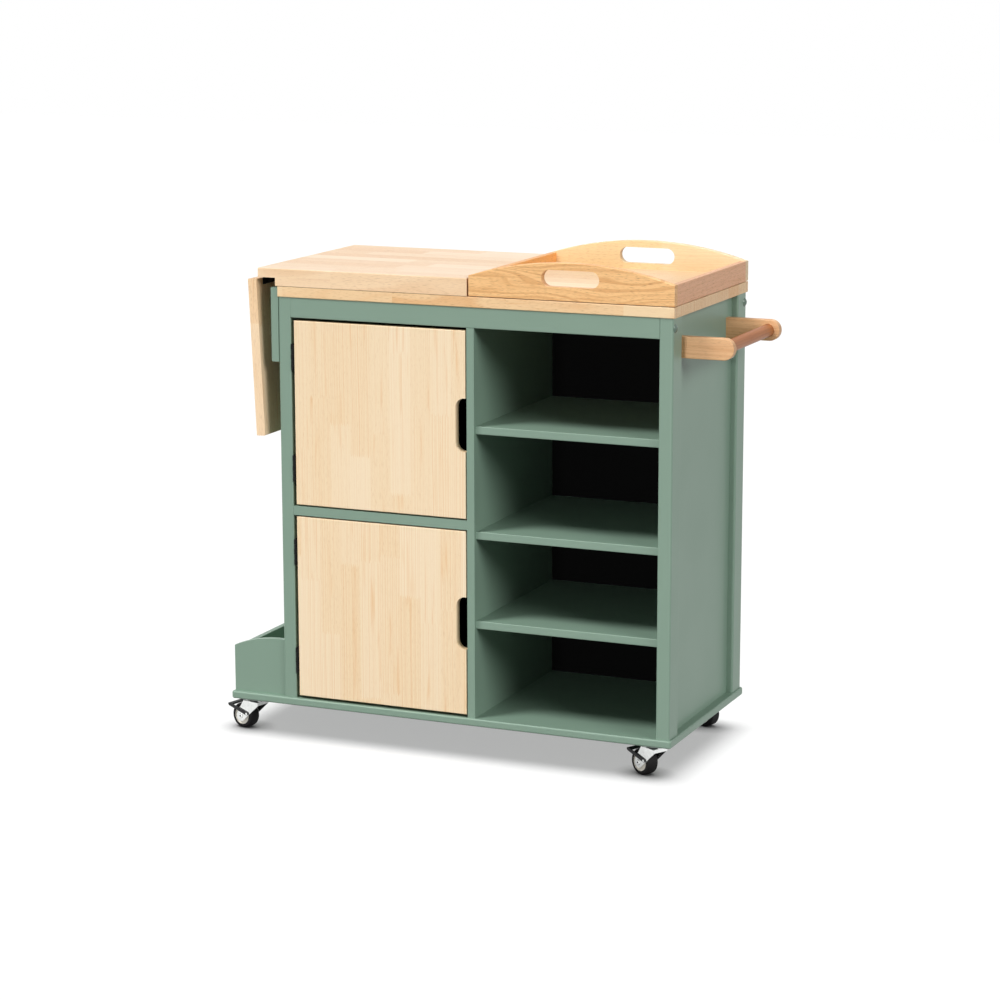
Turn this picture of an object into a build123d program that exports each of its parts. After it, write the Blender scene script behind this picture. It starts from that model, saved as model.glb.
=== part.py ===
from build123d import *
from math import acos, asin, atan2, cos, degrees, hypot, radians, sin
import os

# Kitchen storage cart on four casters. Millimetres.
# Working frame: X to the right along the front, Y to the back, Z up. X = 0 is the middle of the
# carcass, Y = 0 is the front face of the posts and Z = 0 is the floor. When the nodes are written,
# all are moved alike, so that the origin is on the floor under the middle of the whole cart.

# Carcass, painted board
carcass_half_width = 397.5
carcass_depth = 410
post_width = 26
post_depth = 48
post_height = 783
side_panel_t = 13
back_panel_t = 6
rail_height = 38.5
rail_t = 20
divider_t = 15
shelf_t = 15
shelf_setback = 8
mid_shelf_t = 18
shelf_clear_heights = (173, 157, 185)
edge_round = 1.5
post_corner_r = 4
cut_margin = 1

# Base board and bin
base_t = 15
base_overhang = 4.5
base_left_reach = 115.5
base_corner_r = 6
base_edge_r = 3.5
bin_width = 111.5
bin_board_t = 12
bin_front_setback = 5
bin_side_height = 87.5
bin_front_height = 112
bin_front_drop = 21
bin_front_level_length = 13
bin_corner_r = 2

# Worktop, solid wood
slab_t = 20
slab_overhang = 2.5
slab_front_overhang = 2
block_t = 34
block_left_overhang = 4.5
block_tray_gap = 3.5
lip_reach = 36.5
lip_t = 18
top_round = 2

# Tray on the right half of the worktop
tray_left = -2
tray_board_t = 15
tray_side_t = 12
tray_side_height = 38
tray_peak_height = 69
tray_floor_t = 9
tray_floor_lift = 5
tray_foot_t = 1.5
tray_foot_r = 7
tray_foot_inset = 22
tray_slot_length = 113
tray_slot_height = 31
tray_slot_centre = 40

# Doors, inset between the left post and the divider. The gaps set their width and height.
door_t = 15
door_latch_gap = 2.5
door_hinge_gap = 6.5
door_end_gap = 5.5
door_shelf_gap = 2.75
notch_length = 101
notch_depth = 20
notch_corner_r = 17
door_hinge_length = 50
door_hinge_inset = 45
door_hinge_post_plate = 20
door_hinge_door_plate = 13
door_hinge_axis_gap = 3.2

# Butt hinges, black steel: shared by the doors and the drop leaf
hinge_plate_t = 1.2
knuckle_r = 2.4
hinge_pin_r = 1.1
hinge_pin_clearance = 0.06
knuckle_gap = 0.3
knuckle_count = 5
knuckle_web_t = 1.2

# Magnetic catches
catch_length = 40
catch_width = 13
catch_depth = 12
catch_drop = 45
striker_t = 1.2
striker_gap = 0.3

# Drop leaf, hung on the lip of the worktop block
leaf_length = 302
leaf_t = 18
leaf_gap = 1
leaf_lean_deg = 2.5
leaf_hinge_drop = 3.0
leaf_hinge_length = 65
leaf_hinge_plate = 14
leaf_hinge_inset = 25

# Batten and folding stays that hold the raised leaf
batten_t = 15
batten_height = 142
batten_top_gap = 2.5
stay_inset = 118
stay_pivot_below_hinge = 90.5
stay_pivot_off_batten = 9
stay_length = 175
stay_width = 12
stay_t = 8
stay_pin_r = 2.5
stay_pin_clearance = 0.06
rail_channel_depth = 11
rail_channel_inner = 11
rail_channel_wall = 1.5
rail_channel_start = 30
rail_channel_end = 290
stay_nose_gap = 0.3
bracket_plate_height = 46
bracket_plate_width = 34
bracket_plate_t = 2
bracket_ear_t = 2
bracket_ear_gap = 0.5

# Towel handle on the right side
handle_arm_t = 16
handle_arm_height = 40
handle_arm_reach = 106
handle_arm_inset = 64
handle_arm_top_drop = 40.5
handle_rod_r = 12
handle_rod_end_margin = 23
handle_rod_socket = 8
handle_rod_clearance = 0.3

# Connector bolts with domed caps
bolt_r = 3.5
bolt_hole_clearance = 0.1
bolt_grip = 32
bolt_head_r = 5
bolt_head_t = 2.2
bolt_end_gap = 1
cap_r = 8.5
cap_height = 4.2
cap_clearance = 0.15

# Casters
caster_height = 64.5
wheel_r = 25
wheel_width = 25
wheel_shoulder_r = 4
wheel_hub_r = 9
wheel_hub_extra = 0.9
wheel_dish_r = 17
wheel_dish_depth = 3
axle_r = 3
axle_clearance = 0.06
axle_head_r = 5
axle_head_t = 1.8
axle_head_round = 1.1
axle_dimple_r = 1.8
axle_dimple_depth = 1
caster_trail = 28
caster_plate_t = 2.5
caster_plate_corner_r = 4
race_r = 14
race_t = 3
race_round = 1
race_gap = 0.3
kingpin_r = 4
kingpin_clearance = 0.06
kingpin_head_r = 6.5
kingpin_head_t = 2
fork_t = 2
fork_side_gap = 1.4
fork_front = 17
fork_rear = 20
fork_skirt = 7
fork_end_r = 10.5
fork_top_round = 1.8
caster_hole_r = 2.6
caster_hole_spacing = 27
caster_hole_edge = 5.5
screw_head_r = 4
screw_head_t = 1.8
screw_head_round = 1.1
screw_length = 13
screw_r = 2.1
screw_hole_clearance = 0.1
pedal_pivot_ahead = 17
pedal_pivot_up = 7
pedal_pivot_r = 2.5
pedal_pivot_clearance = 0.06
pedal_arm_t = 1.8
pedal_arm_height = 6.5
pedal_side_gap = 0.5
pedal_reach = 44
pedal_rise = 13
pedal_tread_length = 8
pedal_tread_t = 4
pedal_tread_round = 1.6
pedal_rivet_cap = 0.6
caster_inset_front = 27
caster_inset_rear = 36
caster_inset_right = 40.5
caster_inset_left = 41
heading_front_left_deg = 166
heading_front_right_deg = 151
heading_rear_left_deg = 165
heading_rear_right_deg = 160

# Levels and lines worked out from the sizes above
base_z0 = caster_height
base_z1 = base_z0 + base_t
post_z1 = base_z1 + post_height
slab_z1 = post_z1 + slab_t
block_z1 = slab_z1 + block_t
lip_z0 = block_z1 - lip_t
inner_x = carcass_half_width - post_width
panel_x = inner_x + side_panel_t
back_panel_y1 = carcass_depth - rail_t
back_panel_y0 = back_panel_y1 - back_panel_t
rail_z0 = post_z1 - rail_height
divider_x = divider_t / 2
block_x0 = -carcass_half_width - block_left_overhang
block_x1 = tray_left - block_tray_gap
base_x0 = -carcass_half_width - base_left_reach
base_x1 = carcass_half_width + base_overhang
base_y0 = -base_overhang
base_y1 = carcass_depth + base_overhang
slab_x1 = carcass_half_width + slab_overhang
slab_y0 = -slab_front_overhang
slab_y1 = carcass_depth + slab_front_overhang
lip_x0 = block_x0 - lip_reach


def board(x0, x1, y0, y1, z0, z1):
    """A plain board between two corners."""
    middle = ((x0 + x1) / 2, (y0 + y1) / 2, (z0 + z1) / 2)
    return Pos(*middle) * Box(abs(x1 - x0), abs(y1 - y0), abs(z1 - z0))


def rod(start, direction, radius, length):
    """A round bar from a start point along a direction."""
    return Plane(origin=start, z_dir=direction) * Cylinder(
        radius, length, align=(Align.CENTER, Align.CENTER, Align.MIN)
    )


nodes = {}


def save(name, *pieces):
    """Keep the solids of one node until the whole cart is there."""
    nodes[name] = [solid for piece in pieces for solid in piece.solids()]


# Base board: runs under the carcass and on under the bin, with a rounded edge. The pilot holes
# for the casters' screws are drilled further down, where the casters are.
base = board(base_x0, base_x1, base_y0, base_y1, base_z0, base_z1)
base = fillet(base.edges().filter_by(Axis.Z), base_corner_r)
base = fillet(base.faces().sort_by(Axis.Z)[-1].edges(), base_edge_r)
base = fillet(base.faces().sort_by(Axis.Z)[0].edges(), base_edge_r)


# Posts: one at each corner, bored for the connector bolts of the two top rails
bolt_z = rail_z0 + rail_height / 2
bolt_ys = (rail_t / 2, carcass_depth - rail_t / 2)
bolt_hole_r = bolt_r + bolt_hole_clearance


def bolt_bore(side, y):
    """The clearance hole of one rail bolt, from outside the post into the rail's end."""
    start = (side * (carcass_half_width + cut_margin), y, bolt_z)
    return rod(start, (-side, 0, 0), bolt_hole_r, cut_margin + post_width + bolt_grip)


def make_post(side, y0):
    outer, inner = side * carcass_half_width, side * inner_x
    post = board(outer, inner, y0, y0 + post_depth, base_z1, post_z1)
    upright = post.edges().filter_by(Axis.Z)
    outer_edges = upright.filter_by_position(Axis.X, outer - cut_margin, outer + cut_margin)
    post = fillet(outer_edges, post_corner_r)
    upright = post.edges().filter_by(Axis.Z)
    inner_edges = upright.filter_by_position(Axis.X, inner - cut_margin, inner + cut_margin)
    post = fillet(inner_edges, edge_round)
    y = bolt_ys[0] if y0 == 0 else bolt_ys[1]
    post -= bolt_bore(side, y)
    if side < 0:
        head_seat = rod((outer, y, bolt_z), (1, 0, 0), bolt_head_r + bolt_hole_clearance, bolt_head_t)
        post -= head_seat
    return post


for post_name, side, y0 in (
    ("post_front_left", -1, 0),
    ("post_front_right", 1, 0),
    ("post_rear_left", -1, carcass_depth - post_depth),
    ("post_rear_right", 1, carcass_depth - post_depth),
):
    save(post_name, make_post(side, y0))


# Top rails between the posts, front and rear
for rail_name, y0 in (("front_top_rail", 0), ("rear_top_rail", carcass_depth - rail_t)):
    rail = board(-inner_x, inner_x, y0, y0 + rail_t, rail_z0, post_z1)
    rail = fillet(rail.edges().filter_by(Axis.X), edge_round)
    for side in (-1, 1):
        rail -= bolt_bore(side, y0 + rail_t / 2)
    save(rail_name, rail)


# Connector bolts: head against the post, shank into the rail
def make_bolt(side, y):
    face = side * carcass_half_width
    head_out = 0 if side < 0 else bolt_head_t
    head_base = (face - side * (bolt_head_t - head_out), y, bolt_z)
    head = rod(head_base, (side, 0, 0), bolt_head_r, bolt_head_t)
    shank_length = post_width + bolt_grip - bolt_end_gap - (bolt_head_t - head_out)
    shank = rod(head_base, (-side, 0, 0), bolt_r, shank_length)
    return head + shank


def make_cap(y):
    """Domed cover over one bolt head on the right side, hollow round the head."""
    seat_r, seat_t = bolt_head_r + cap_clearance, bolt_head_t + cap_clearance
    bulge_r = (cap_r**2 + cap_height**2) / (2 * cap_height)
    with BuildSketch(Plane.XY) as profile:
        with BuildLine():
            RadiusArc((0, cap_r), (cap_height, 0), bulge_r)
            Polyline((cap_height, 0), (seat_t, 0), (seat_t, seat_r), (0, seat_r), (0, cap_r))
        make_face()
    return Pos(carcass_half_width, y, bolt_z) * revolve(profile.sketch, Axis.X)


save("rail_bolts", *[make_bolt(side, y) for side in (-1, 1) for y in bolt_ys])
save("bolt_caps", *[make_cap(y) for y in bolt_ys])


# Side panels stand between the posts, flush with the posts' inner faces
for panel_name, side in (("side_panel_left", -1), ("side_panel_right", 1)):
    save(
        panel_name,
        board(side * inner_x, side * panel_x, post_depth, carcass_depth - post_depth, base_z1, post_z1),
    )

# Back panel between the rear posts, behind the shelves and in front of the rear rail
save("back_panel", board(-inner_x, inner_x, back_panel_y0, back_panel_y1, base_z1, post_z1))

# Divider, notched round the front rail
divider = board(-divider_x, divider_x, 0, back_panel_y0, base_z1, post_z1)
divider -= board(-divider_x, divider_x, -cut_margin, rail_t, rail_z0, post_z1 + cut_margin)
save("centre_divider", divider)


# Doors' levels: two equal doors fill the height between base and top rail, with a shelf between
door_opening = rail_z0 - base_z1 - mid_shelf_t
door_height = door_opening / 2 - door_end_gap - door_shelf_gap
lower_door_z0 = base_z1 + door_end_gap
upper_door_z0 = rail_z0 - door_end_gap - door_height
mid_shelf_z0 = lower_door_z0 + door_height + door_shelf_gap

# Shelf between the two cupboards: its front edge shows between the doors
save(
    "cupboard_shelf",
    board(-inner_x, -divider_x, 0, back_panel_y0, mid_shelf_z0, mid_shelf_z0 + mid_shelf_t),
)

# Three open shelves on the right, a little behind the posts
shelf_z = base_z1
for shelf_name, clear in zip(("shelf_lower", "shelf_middle", "shelf_upper"), shelf_clear_heights):
    shelf_z += clear
    shelf = board(divider_x, inner_x, shelf_setback, back_panel_y0, shelf_z, shelf_z + shelf_t)
    shelf = fillet(shelf.edges().filter_by(Axis.X).sort_by(Axis.Y)[:2], edge_round)
    save(shelf_name, shelf)
    shelf_z += shelf_t


# Worktop slab over the whole carcass
slab = board(-carcass_half_width, slab_x1, slab_y0, slab_y1, post_z1, slab_z1)
save("worktop_slab", fillet(slab.edges().filter_by(Axis.X), edge_round))

# Thick block on the left half of the slab, rebated under its left end to form the lip
block = board(lip_x0, block_x1, slab_y0, slab_y1, slab_z1, block_z1)
block = fillet(block.edges().group_by(Axis.Z)[-1], top_round)
block -= board(
    lip_x0 - cut_margin, block_x0, slab_y0 - cut_margin, slab_y1 + cut_margin,
    slab_z1 - cut_margin, lip_z0,
)
save("worktop_block", block)


# Tray: two arched end boards with hand slots, two low sides, a floor and four feet
tray_z0 = slab_z1 + tray_foot_t
tray_mid_x = (tray_left + slab_x1) / 2


def make_tray_end(y0):
    """Arched board with a slot, its front face at y0."""
    plane = Plane(origin=(0, y0 + tray_board_t, 0), x_dir=(1, 0, 0), z_dir=(0, -1, 0))
    low = tray_z0 + tray_side_height
    with BuildSketch(plane) as outline:
        with BuildLine():
            Polyline((tray_left, low), (tray_left, tray_z0), (slab_x1, tray_z0), (slab_x1, low))
            ThreePointArc((slab_x1, low), (tray_mid_x, tray_z0 + tray_peak_height), (tray_left, low))
        make_face()
        with Locations((tray_mid_x, tray_z0 + tray_slot_centre)):
            SlotOverall(tray_slot_length, tray_slot_height, mode=Mode.SUBTRACT)
    end = extrude(outline.sketch, tray_board_t)
    return fillet(end.edges().group_by(SortBy.LENGTH)[-1], edge_round)


tray_front_y0 = slab_y0
tray_rear_y0 = slab_y1 - tray_board_t
save("tray_front_board", make_tray_end(tray_front_y0))
save("tray_rear_board", make_tray_end(tray_rear_y0))

tray_inner_y0 = tray_front_y0 + tray_board_t
for side_name, x0 in (("tray_side_left", tray_left), ("tray_side_right", slab_x1 - tray_side_t)):
    side_board = board(
        x0, x0 + tray_side_t, tray_inner_y0, tray_rear_y0, tray_z0, tray_z0 + tray_side_height
    )
    save(side_name, side_board)

tray_floor_z0 = tray_z0 + tray_floor_lift
save(
    "tray_floor",
    board(
        tray_left + tray_side_t,
        slab_x1 - tray_side_t,
        tray_inner_y0,
        tray_rear_y0,
        tray_floor_z0,
        tray_floor_z0 + tray_floor_t,
    ),
)
save(
    "tray_feet",
    *[
        rod((x, y, slab_z1), (0, 0, 1), tray_foot_r, tray_foot_t)
        for x in (tray_left + tray_foot_inset, slab_x1 - tray_foot_inset)
        for y in (tray_front_y0 + tray_board_t / 2, tray_rear_y0 + tray_board_t / 2)
    ],
)


# Doors: flush with the posts, with a finger notch in the edge next to the divider
door_x1 = -divider_x - door_latch_gap
door_x0 = -inner_x + door_hinge_gap
door_hinge_x = door_x0 - door_hinge_axis_gap


def make_door(z0):
    middle_z = z0 + door_height / 2
    door = board(door_x0, door_x1, 0, door_t, z0, z0 + door_height)
    door = fillet(door.faces().sort_by(Axis.Y)[0].edges(), edge_round)
    notch = board(
        door_x1 - notch_depth,
        door_x1 + notch_depth,
        -cut_margin,
        door_t + cut_margin,
        middle_z - notch_length / 2,
        middle_z + notch_length / 2,
    )
    notch = fillet(notch.edges().filter_by(Axis.Y).sort_by(Axis.X)[:2], notch_corner_r)
    return door - notch


def knuckle_spans(length, moving):
    """Start and end of each knuckle along the pin, every second one on each plate."""
    pitch = length / knuckle_count
    first = 1 if moving else 0
    return [
        (i * pitch + knuckle_gap / 2, (i + 1) * pitch - knuckle_gap / 2)
        for i in range(first, knuckle_count, 2)
    ]


def hinge_half(length, plate_width, axis_to_face, moving):
    """One plate of a butt hinge in its own frame.

    The pin runs along Z from the origin. The plate lies on a face at x = axis_to_face and
    spreads along Y. The still half carries the pin and the moving half is bored for it.
    """
    inner_face = axis_to_face - hinge_plate_t
    clear = knuckle_r + knuckle_gap
    half = board(inner_face, axis_to_face, clear, plate_width, 0, length)
    for low, high in knuckle_spans(length, moving):
        half += board(inner_face, axis_to_face, 0, clear, low, high)
        half += Pos(0, 0, low) * Cylinder(
            knuckle_r, high - low, align=(Align.CENTER, Align.CENTER, Align.MIN)
        )
        half += board(0, inner_face, 0, knuckle_web_t, low, high)
    pin_r = hinge_pin_r + (hinge_pin_clearance if moving else 0)
    pin = Cylinder(pin_r, length, align=(Align.CENTER, Align.CENTER, Align.MIN))
    return half - pin if moving else half + pin


def door_hinge(z0, moving):
    """Hinge half with its pin upright in the gap beside the door."""
    if moving:
        half = hinge_half(door_hinge_length, door_hinge_door_plate, door_hinge_axis_gap, True)
        return Pos(door_hinge_x, 0, z0) * half
    post_gap = door_hinge_x + inner_x
    half = hinge_half(door_hinge_length, door_hinge_post_plate, post_gap, False)
    return Pos(door_hinge_x, 0, z0) * mirror(half, Plane.YZ)


def door_hinge_levels(z0):
    return (z0 + door_hinge_inset, z0 + door_height - door_hinge_inset - door_hinge_length)


def make_striker(z0):
    z1 = z0 + door_height - catch_drop
    x1 = -divider_x - striker_gap - door_latch_gap
    return board(x1 - catch_width, x1, door_t, door_t + striker_t, z1 - catch_length, z1)


def make_catch(z0):
    z1 = z0 + door_height - catch_drop
    y0 = door_t + striker_t + striker_gap
    body = board(-divider_x - catch_width, -divider_x, y0, y0 + catch_depth, z1 - catch_length, z1)
    return fillet(body.edges().filter_by(Axis.X), edge_round)


door_levels = {"lower_door": lower_door_z0, "upper_door": upper_door_z0}
for door_name, z0 in door_levels.items():
    save(door_name, make_door(z0))
    save(door_name + "_hinge_plates", *[door_hinge(z, True) for z in door_hinge_levels(z0)])
    save(door_name + "_striker", make_striker(z0))

save(
    "door_hinge_post_plates",
    *[door_hinge(z, False) for z0 in door_levels.values() for z in door_hinge_levels(z0)],
)
save("door_catches", *[make_catch(z0) for z0 in door_levels.values()])


# Drop leaf. It is made raised, level with the block, and turned down about its hinge.
leaf_x1 = lip_x0 - leaf_gap
leaf_hinge_x = lip_x0 - leaf_gap / 2
leaf_hinge_z = lip_z0 - leaf_hinge_drop
leaf_drop_deg = 90 + leaf_lean_deg


def hang(raised):
    """Turn something on the leaf from its raised place to its hanging place."""
    return raised.rotate(Axis((leaf_hinge_x, 0, leaf_hinge_z), (0, 1, 0)), -leaf_drop_deg)


leaf = board(leaf_x1 - leaf_length, leaf_x1, slab_y0, slab_y1, block_z1 - leaf_t, block_z1)
leaf = fillet(leaf.edges().filter_by(Axis.Y), top_round)
save("drop_leaf", hang(leaf))


def leaf_hinge(y0, moving):
    """Hinge half under the joint of lip and leaf, its pin along Y from y0."""
    half = hinge_half(leaf_hinge_length, leaf_hinge_plate, leaf_hinge_drop, moving)
    pin_frame = Plane(origin=(leaf_hinge_x, y0, leaf_hinge_z), x_dir=(0, 0, 1), z_dir=(0, 1, 0))
    return hang(pin_frame * mirror(half, Plane.XZ)) if moving else pin_frame * half


leaf_hinge_ys = (slab_y0 + leaf_hinge_inset, slab_y1 - leaf_hinge_inset - leaf_hinge_length)
save("leaf_hinge_lip_plates", *[leaf_hinge(y, False) for y in leaf_hinge_ys])
save("leaf_hinge_leaf_plates", *[leaf_hinge(y, True) for y in leaf_hinge_ys])


# Batten across the outside of the left posts, under the lip
batten_x0 = -carcass_half_width - batten_t
batten_z1 = slab_z1 - batten_top_gap
batten = board(
    batten_x0, -carcass_half_width, 0, carcass_depth, batten_z1 - batten_height, batten_z1
)
save("stay_batten", fillet(batten.edges().filter_by(Axis.Y).sort_by(Axis.X)[:2], edge_round))


# Folding stays: each strut turns on a bracket on the batten, and its nose runs in a channel
# under the leaf
stay_ys = (slab_y0 + stay_inset, slab_y1 - stay_inset)
stay_pivot_x = batten_x0 - stay_pivot_off_batten
stay_pivot_z = leaf_hinge_z - stay_pivot_below_hinge
nose_off_leaf = stay_width / 2 + rail_channel_wall + stay_nose_gap

# Angle of the strut from straight down, towards the leaf: hanging, and with the leaf raised
hang_normal = (cos(radians(leaf_lean_deg)), sin(radians(leaf_lean_deg)))
pivot_dx, pivot_dz = stay_pivot_x - leaf_hinge_x, stay_pivot_z - leaf_hinge_z
pivot_off_face = pivot_dx * hang_normal[0] + pivot_dz * hang_normal[1] + leaf_hinge_drop
stay_rest_deg = degrees(asin((pivot_off_face - nose_off_leaf) / stay_length)) - leaf_lean_deg
raised_rise = lip_z0 - nose_off_leaf - stay_pivot_z
stay_raised_deg = 90 + degrees(asin(raised_rise / stay_length))
stay_ratio = (stay_raised_deg - stay_rest_deg) / leaf_drop_deg


def make_strut(y):
    """Flat bar with round ends, bored at its pivot, hanging down into the channel."""
    plane = Plane(origin=(stay_pivot_x, y + stay_t / 2, stay_pivot_z), x_dir=(0, 0, -1), z_dir=(0, -1, 0))
    with BuildSketch(plane) as outline:
        with Locations((stay_length / 2, 0)):
            SlotOverall(stay_length + stay_width, stay_width)
        Circle(stay_pin_r + stay_pin_clearance, mode=Mode.SUBTRACT)
    strut = extrude(outline.sketch, stay_t)
    pivot = Axis((stay_pivot_x, y, stay_pivot_z), (0, 1, 0))
    return strut.rotate(pivot, stay_rest_deg)


def make_channel(y):
    """Open channel screwed under the leaf, its mouth towards the cart when the leaf hangs."""
    half_outer = rail_channel_inner / 2 + rail_channel_wall
    x1 = leaf_x1 - rail_channel_start
    x0 = leaf_x1 - rail_channel_end
    z1 = block_z1 - leaf_t
    channel = board(x0, x1, y - half_outer, y + half_outer, z1 - rail_channel_depth, z1)
    hollow = board(
        x0 - cut_margin,
        x1 + cut_margin,
        y - rail_channel_inner / 2,
        y + rail_channel_inner / 2,
        z1 - rail_channel_depth - cut_margin,
        z1 - rail_channel_wall,
    )
    return hang(channel - hollow)


def make_stay_bracket(y):
    """Plate on the batten with two ears and the pin that the strut turns on."""
    ear_inner = rail_channel_inner / 2 + rail_channel_wall + bracket_ear_gap
    ear_outer = ear_inner + bracket_ear_t
    plate = board(
        batten_x0 - bracket_plate_t,
        batten_x0,
        y - bracket_plate_width / 2,
        y + bracket_plate_width / 2,
        stay_pivot_z - bracket_plate_height / 2,
        stay_pivot_z + bracket_plate_height / 2,
    )
    bracket = fillet(plate.edges().filter_by(Axis.X), bracket_plate_t)
    ear_r = stay_pin_r + bracket_plate_t
    for y0 in (y - ear_outer, y + ear_inner):
        bracket += rod((stay_pivot_x, y0, stay_pivot_z), (0, 1, 0), ear_r, bracket_ear_t)
        bracket += board(
            stay_pivot_x, batten_x0 - bracket_plate_t, y0, y0 + bracket_ear_t,
            stay_pivot_z - ear_r, stay_pivot_z + ear_r,
        )
    bracket += rod((stay_pivot_x, y - ear_outer, stay_pivot_z), (0, 1, 0), stay_pin_r, 2 * ear_outer)
    return bracket


save("stay_strut_front", make_strut(stay_ys[0]))
save("stay_strut_rear", make_strut(stay_ys[1]))
save("stay_channels", *[make_channel(y) for y in stay_ys])
save("stay_brackets", *[make_stay_bracket(y) for y in stay_ys])


# Bin on the left end of the base: a front board with a rising top, a low side and a rear board
bin_x0 = -carcass_half_width - bin_width


def make_bin_end(y0):
    plane = Plane(origin=(0, y0 + bin_board_t, 0), x_dir=(1, 0, 0), z_dir=(0, -1, 0))
    low = base_z1 + bin_front_height - bin_front_drop
    high = base_z1 + bin_front_height
    x1 = -carcass_half_width
    rise_x = x1 - bin_front_level_length
    with BuildSketch(plane) as outline:
        with BuildLine():
            Polyline((bin_x0, low), (bin_x0, base_z1), (x1, base_z1), (x1, high), (rise_x, high))
            TangentArc((rise_x, high), (bin_x0, low), tangent=(-1, 0))
        make_face()
    end = extrude(outline.sketch, bin_board_t)
    return fillet(end.edges().filter_by(Axis.Z).sort_by(Axis.X)[:2], bin_corner_r)


bin_front_y1 = bin_front_setback + bin_board_t
bin_rear_y0 = carcass_depth - bin_front_setback - bin_board_t
save("bin_front_board", make_bin_end(bin_front_setback))
save("bin_rear_board", make_bin_end(bin_rear_y0))
bin_side = board(
    bin_x0, bin_x0 + bin_board_t, bin_front_y1, bin_rear_y0, base_z1, base_z1 + bin_side_height
)
save("bin_side_board", fillet(bin_side.edges().filter_by(Axis.Y).sort_by(Axis.Z)[-2:], edge_round))


# Towel handle: two round-ended arms on the right side panel and a rod let into both
arm_z1 = post_z1 - handle_arm_top_drop
arm_z = arm_z1 - handle_arm_height / 2
arm_ys = (handle_arm_inset, carcass_depth - handle_arm_inset - handle_arm_t)
rod_x = panel_x + handle_arm_reach - handle_rod_end_margin


def make_handle_arm(y0, inner_y):
    nose_r = handle_arm_height / 2
    straight = handle_arm_reach - nose_r
    arm = board(panel_x, panel_x + straight, y0, y0 + handle_arm_t, arm_z - nose_r, arm_z1)
    arm += rod((panel_x + straight, y0, arm_z), (0, 1, 0), nose_r, handle_arm_t)
    arm = fillet(arm.edges().filter_by(GeomType.CIRCLE), edge_round)
    socket_y0 = min(inner_y, inner_y + (handle_rod_socket if inner_y == y0 else -handle_rod_socket))
    socket_r = handle_rod_r + handle_rod_clearance
    return arm - rod((rod_x, socket_y0, arm_z), (0, 1, 0), socket_r, handle_rod_socket)


save("handle_arm_front", make_handle_arm(arm_ys[0], arm_ys[0] + handle_arm_t))
save("handle_arm_rear", make_handle_arm(arm_ys[1], arm_ys[1]))
rod_y0 = arm_ys[0] + handle_arm_t - handle_rod_socket
rod_y1 = arm_ys[1] + handle_rod_socket
save("handle_rod", rod((rod_x, rod_y0, arm_z), (0, 1, 0), handle_rod_r, rod_y1 - rod_y0))


# Casters. Each is made at the origin with its kingpin on Z and its wheel trailing along +X,
# then turned to its heading and set under the base.
fork_inner = wheel_width / 2 + fork_side_gap
fork_outer = fork_inner + fork_t
plate_z0 = caster_height - caster_plate_t
race_z0 = plate_z0 - race_t
crown_z1 = race_z0 - race_gap
crown_z0 = crown_z1 - fork_t


caster_holes = [
    (x * caster_hole_spacing / 2, y * caster_hole_spacing / 2) for x in (-1, 1) for y in (-1, 1)
]


def make_caster_plate():
    """Top plate with its ball race and the kingpin that holds the fork."""
    half = caster_hole_spacing / 2 + caster_hole_edge
    plate = board(-half, half, -half, half, plate_z0, caster_height)
    plate = fillet(plate.edges().filter_by(Axis.Z), caster_plate_corner_r)
    race = rod((0, 0, race_z0), (0, 0, 1), race_r, race_t)
    race = fillet(race.edges().sort_by(Axis.Z)[:1], race_round)
    pin_z0 = crown_z0 - race_gap
    plate += race + rod((0, 0, pin_z0), (0, 0, 1), kingpin_r, plate_z0 - pin_z0)
    plate += rod((0, 0, pin_z0 - kingpin_head_t), (0, 0, 1), kingpin_head_r, kingpin_head_t)
    for x, y in caster_holes:
        hole_z0 = plate_z0 - cut_margin
        plate -= rod((x, y, hole_z0), (0, 0, 1), caster_hole_r, caster_plate_t + 2 * cut_margin)
    return plate


def make_caster_screw(x, y):
    """Pan-head screw up through the plate into the base board."""
    head = rod((x, y, plate_z0 - screw_head_t), (0, 0, 1), screw_head_r, screw_head_t)
    head = fillet(head.edges().sort_by(Axis.Z)[:1], screw_head_round)
    return head + rod((x, y, plate_z0), (0, 0, 1), screw_r, screw_length)


def make_fork():
    """Pressed fork: a crown bored for the kingpin, two tapering legs and a front skirt."""
    axle_x, axle_z = caster_trail, wheel_r
    crown = board(-fork_front, fork_rear, -fork_outer, fork_outer, crown_z0, crown_z1)
    top_corner, bottom = (fork_rear, crown_z1), (-fork_front, crown_z1 - fork_skirt)
    legs = []
    for y0 in (-fork_outer, fork_inner):
        plane = Plane(origin=(0, y0 + fork_t, 0), x_dir=(1, 0, 0), z_dir=(0, -1, 0))
        rear_point = tangent_point(top_corner, (axle_x, axle_z), fork_end_r, 1)
        front_point = tangent_point(bottom, (axle_x, axle_z), fork_end_r, -1)
        with BuildSketch(plane) as outline:
            Polygon(
                (-fork_front, crown_z1), top_corner, rear_point, (axle_x, axle_z), front_point, bottom,
                align=None,
            )
            with Locations((axle_x, axle_z)):
                Circle(fork_end_r)
                Circle(axle_r, mode=Mode.SUBTRACT)
        legs.append(extrude(outline.sketch, fork_t))
    skirt = board(
        -fork_front, -fork_front + fork_t, -fork_outer, fork_outer, crown_z1 - fork_skirt, crown_z1
    )
    fork = crown + legs[0] + legs[1] + skirt
    fork = fillet(fork.edges().filter_by(Axis.X).group_by(Axis.Z)[-1], fork_top_round)
    pin_bore_r = kingpin_r + kingpin_clearance
    return fork - rod((0, 0, crown_z0 - cut_margin), (0, 0, 1), pin_bore_r, fork_t + 2 * cut_margin)


def tangent_point(outside, centre, radius, turn):
    """Where a line from a point outside a circle touches it, on the chosen side."""
    dx, dz = outside[0] - centre[0], outside[1] - centre[1]
    angle = atan2(dz, dx) - turn * acos(radius / hypot(dx, dz))
    return centre[0] + radius * cos(angle), centre[1] + radius * sin(angle)


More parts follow.
